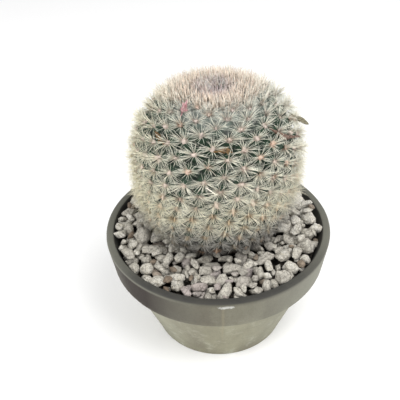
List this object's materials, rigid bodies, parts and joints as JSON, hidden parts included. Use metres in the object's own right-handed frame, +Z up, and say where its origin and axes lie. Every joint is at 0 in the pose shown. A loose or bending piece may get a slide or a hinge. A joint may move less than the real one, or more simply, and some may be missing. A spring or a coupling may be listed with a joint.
{
  "type": "potted round cactus",
  "caption": "Round spiny cactus in a shallow clay pan with a collared rim, filled with potting mix and dressed with pumice gravel.",
  "frame": {"origin": "centre of the pot's foot, on the surface it stands on", "axes": "+Z up; -Y is the side seen in the picture, +X is to its right"},
  "size_m": [0.15, 0.15, 0.1853],
  "materials": {
    "fired_clay": "matt unglazed",
    "potting_mix": "rough crumbly",
    "pumice": "rough porous",
    "plant_body": "waxy skin under pale spines",
    "dried_flower": "dry papery",
    "pink_bud": "waxy",
    "green_fruit": "waxy, browned"
  },
  "bodies": {
    "root": {"pot": "fired_clay", "potting_mix": "potting_mix", "pumice_gravel": "pumice", "cactus": "plant_body", "dried_flower_right": "dried_flower", "dried_flower_front": "dried_flower", "dried_flower_left": "dried_flower", "pink_bud": "pink_bud", "green_fruit": "green_fruit"}
  },
  "joints": []
}
